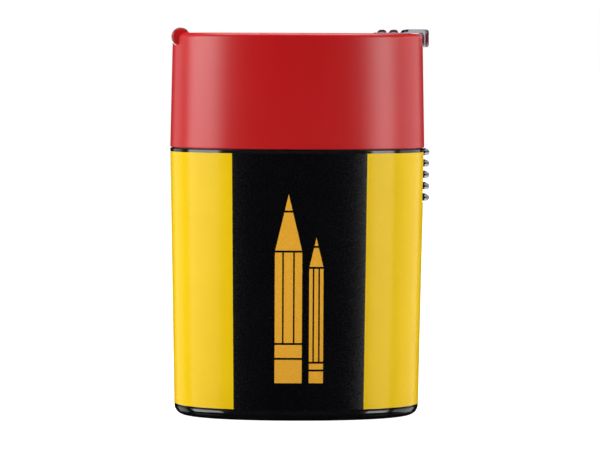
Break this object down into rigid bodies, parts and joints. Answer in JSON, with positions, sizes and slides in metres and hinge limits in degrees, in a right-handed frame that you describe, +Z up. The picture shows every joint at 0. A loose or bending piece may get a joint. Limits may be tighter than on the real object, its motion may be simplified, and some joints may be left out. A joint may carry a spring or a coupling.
{
  "type": "tub pencil sharpener",
  "caption": "Oval tub sharpener for slim and thick pencils, with a lift-off lid over a shavings tub and a hinged clear dust flap with a finger tab.",
  "frame": {"origin": "centre of the tub's flat underside, midway between the tub's narrow ends and its broad faces", "axes": "+Z up along the pencils, +X along the width towards the grip ribs and the finger tab, +Y towards the back; the flap's hinge is at -X"},
  "size_m": [0.0407, 0.026, 0.0608],
  "materials": {
    "tub_plastic": "glossy smoke tinted transparent plastic",
    "printed_film": "glossy film printed yellow with a black panel front and back",
    "lid_plastic": "satin red moulded plastic",
    "flap_plastic": "glossy smoke-clear plastic",
    "carrier_plastic": "fine-textured black plastic",
    "casting_metal": "die-cast light metal, softly brushed",
    "blade_steel": "ground and hardened steel",
    "screw_steel": "plated steel"
  },
  "bodies": {
    "tub": {"tub": "tub_plastic", "sleeve": "printed_film"},
    "lid": {"lid": "lid_plastic", "carrier": "carrier_plastic", "sharpener_casting": "casting_metal", "slim_blade": "blade_steel", "thick_blade": "blade_steel", "slim_blade_screw": "screw_steel", "thick_blade_screw": "screw_steel"},
    "flap": {"flap": "flap_plastic"}
  },
  "joints": [
    {"name": "lid_lift", "type": "slide", "parent": "tub", "child": "lid", "axis": [0, 0, 1], "range_m": [0, 0.03]},
    {"name": "flap_hinge", "type": "hinge", "parent": "lid", "child": "flap", "pos_m": [-0.0184, 0, 0.05935], "axis": [0, -1, 0], "range_deg": [0, 120]}
  ]
}
